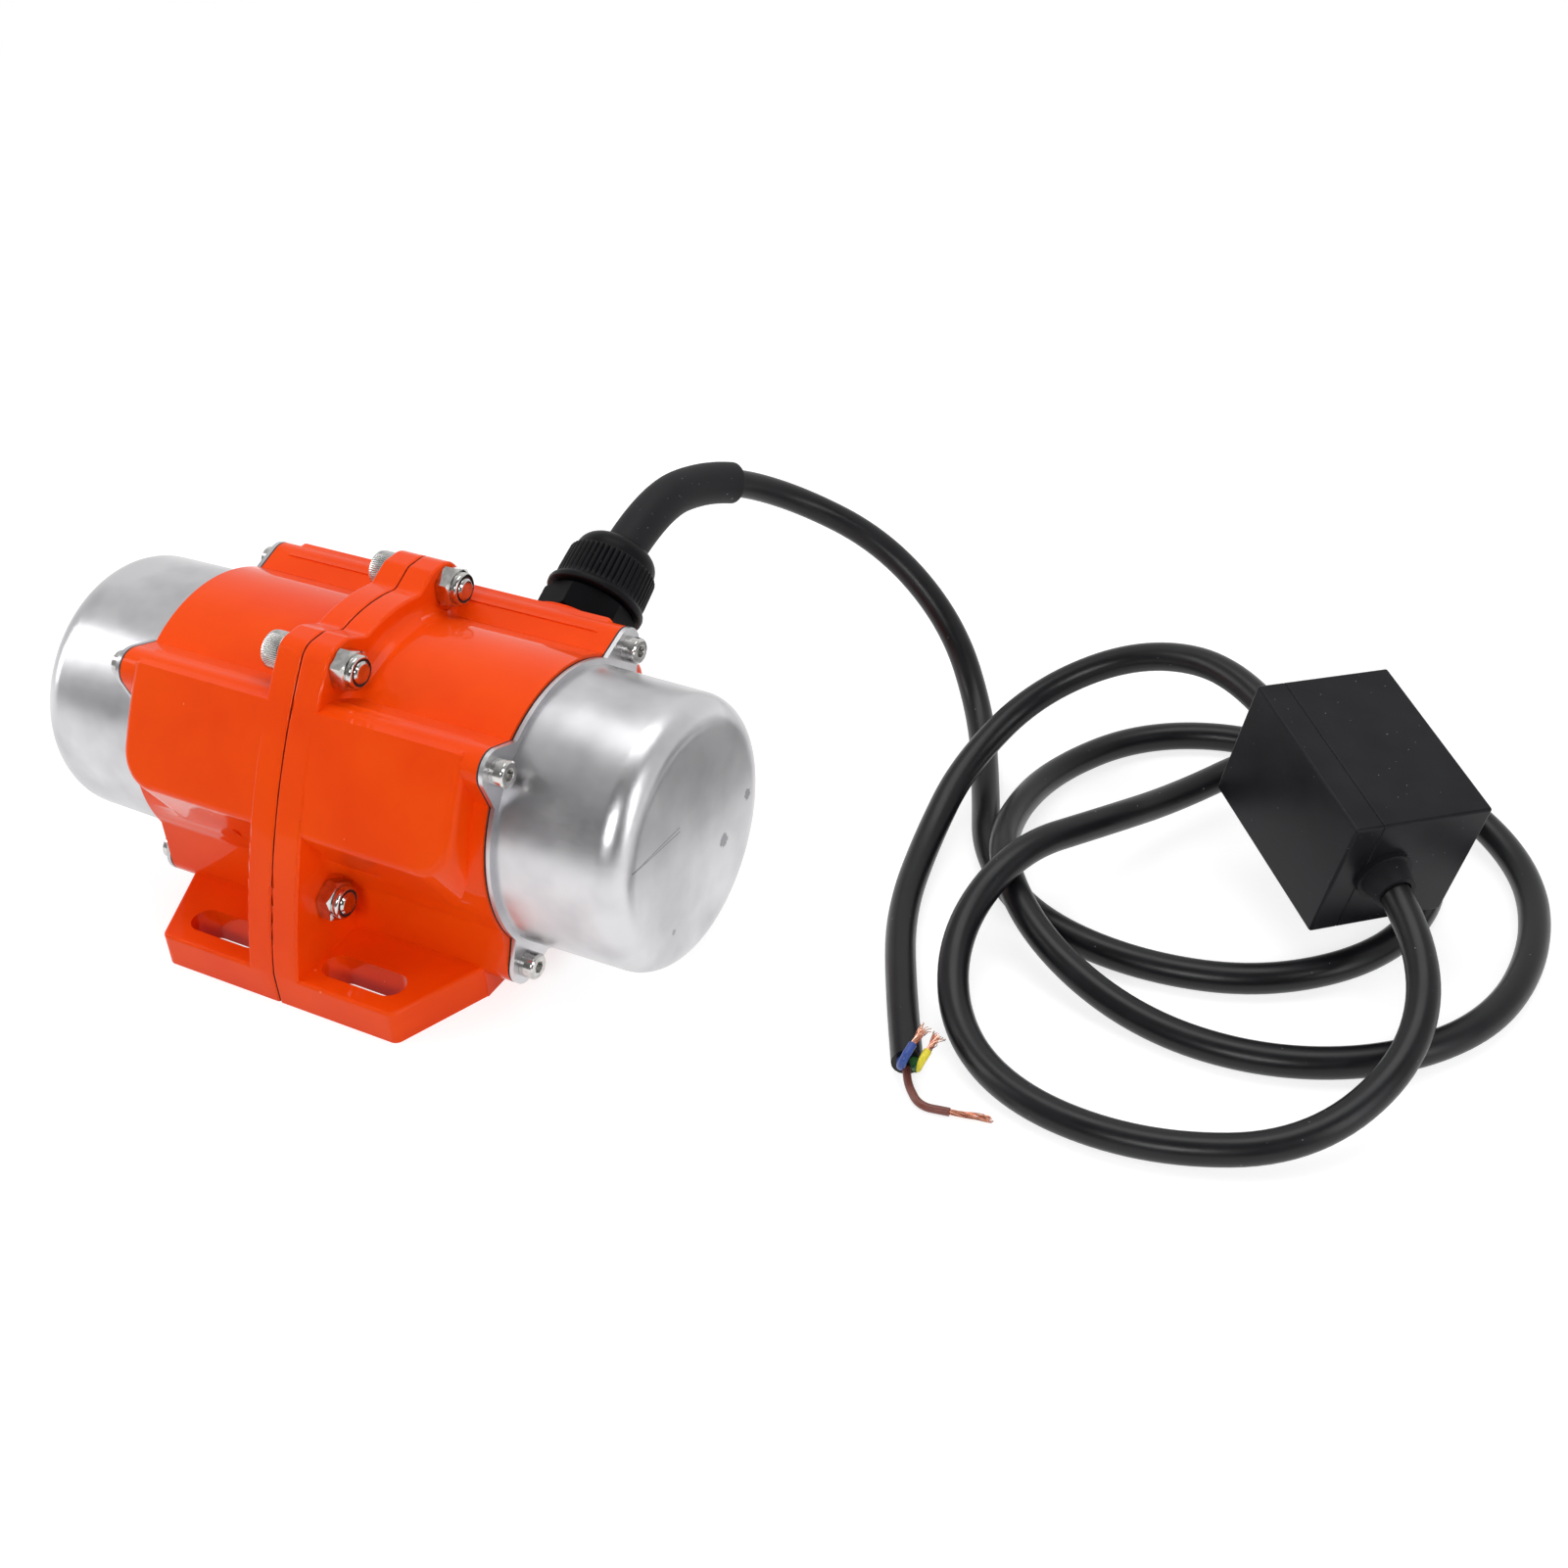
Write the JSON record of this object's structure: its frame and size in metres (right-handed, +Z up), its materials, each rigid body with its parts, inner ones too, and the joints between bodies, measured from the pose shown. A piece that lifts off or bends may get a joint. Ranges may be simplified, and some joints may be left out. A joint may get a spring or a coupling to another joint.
{
  "type": "vibration motor",
  "caption": "Foot-mounted vibration motor: split orange housing, metal end caps over eccentric weights, cable gland, coiled lead with a capacitor box and a stripped end.",
  "frame": {"origin": "centre of the four slots, on the mounting face and on the plane where the housing halves meet", "axes": "+X along the shaft towards the half with the cable gland, +Y to the gland's side, +Z up from the mounting face"},
  "size_m": [0.3808, 0.2138, 0.0884],
  "materials": {
    "paint": "glossy orange enamel on a die casting",
    "cap_metal": "satin brushed, drawn sheet",
    "gasket": "thin black sheet",
    "screw_metal": "bright plated steel",
    "nylon": "nut insert",
    "lamination": "electrical steel stack",
    "copper": "copper wire",
    "steel": "turned and ground steel",
    "cast_aluminium": "cast rotor cage",
    "weight_steel": "flame-cut steel plate",
    "cage_plastic": "moulded ball cage",
    "gland_plastic": "black nylon with a fine grain",
    "rubber": "dull black rubber",
    "cable_jacket": "semi-gloss black flexible jacket",
    "box_plastic": "satin black moulding",
    "capacitor_case": "white moulded case",
    "potting": "grey resin",
    "core_blue": "blue core insulation",
    "core_yellow_green": "yellow and green core insulation",
    "core_brown": "brown core insulation"
  },
  "bodies": {
    "motor": {"bearing_outer_ring_left": "steel", "bearing_outer_ring_right": "steel", "bearing_seals_left": "rubber", "bearing_seals_right": "rubber", "cable_grommets": "rubber", "cable_sleeve": "rubber", "cap_gasket_left": "gasket", "cap_gasket_right": "gasket", "cap_screws_left": "screw_metal", "cap_screws_right": "screw_metal", "capacitor_box_lid": "box_plastic", "capacitor_box_shell": "box_plastic", "capacitor_potting": "potting", "copper_strands": "copper", "core_blue": "core_blue", "core_brown": "core_brown", "core_yellow_green": "core_yellow_green", "end_cap_left": "cap_metal", "end_cap_right": "cap_metal", "flange_bolts": "screw_metal", "flange_nuts": "screw_metal", "gland_body": "gland_plastic", "gland_nut": "gland_plastic", "gland_seal": "rubber", "housing_left": "paint", "housing_right": "paint", "motor_cable": "cable_jacket", "motor_leads": "core_brown", "nut_inserts": "nylon", "run_capacitor": "capacitor_case", "stator_core": "lamination", "stator_winding": "copper", "supply_lead": "cable_jacket", "wave_washer_left": "steel", "wave_washer_right": "steel"},
    "rotor": {"shaft": "steel", "rotor_core": "lamination", "rotor_squirrel_cage": "cast_aluminium", "bearing_inner_ring_left": "steel", "spacer_sleeve_left": "steel", "fixed_weight_left": "weight_steel", "weight_key_left": "steel", "circlip_left": "steel", "bearing_inner_ring_right": "steel", "spacer_sleeve_right": "steel", "fixed_weight_right": "weight_steel", "weight_key_right": "steel", "circlip_right": "steel"},
    "left_ball_set": {"bearing_balls_left": "steel", "bearing_cage_left": "cage_plastic"},
    "left_adjustable": {"adjustable_weight_left": "weight_steel", "clamp_screw_left": "screw_metal"},
    "right_ball_set": {"bearing_balls_right": "steel", "bearing_cage_right": "cage_plastic"},
    "right_adjustable": {"adjustable_weight_right": "weight_steel", "clamp_screw_right": "screw_metal"}
  },
  "joints": [
    {"name": "rotor_spin", "type": "hinge", "parent": "motor", "child": "rotor", "pos_m": [0, 0, 0.0405], "axis": [1, 0, 0], "continuous": true},
    {"name": "left_ball_orbit", "type": "hinge", "parent": "motor", "child": "left_ball_set", "pos_m": [-0.0486, 0, 0.0405], "axis": [1, 0, 0], "continuous": true},
    {"name": "right_ball_orbit", "type": "hinge", "parent": "motor", "child": "right_ball_set", "pos_m": [0.0486, 0, 0.0405], "axis": [1, 0, 0], "continuous": true},
    {"name": "left_weight_setting", "type": "hinge", "parent": "rotor", "child": "left_adjustable", "pos_m": [-0.07605, 0, 0.0405], "axis": [1, 0, 0], "range_deg": [0, 180]},
    {"name": "right_weight_setting", "type": "hinge", "parent": "rotor", "child": "right_adjustable", "pos_m": [0.07605, 0, 0.0405], "axis": [1, 0, 0], "range_deg": [0, 180]}
  ],
  "couplings": [
    {"joint": "left_ball_orbit", "follows": "rotor_spin", "ratio": 0.365},
    {"joint": "right_ball_orbit", "follows": "rotor_spin", "ratio": 0.365}
  ]
}
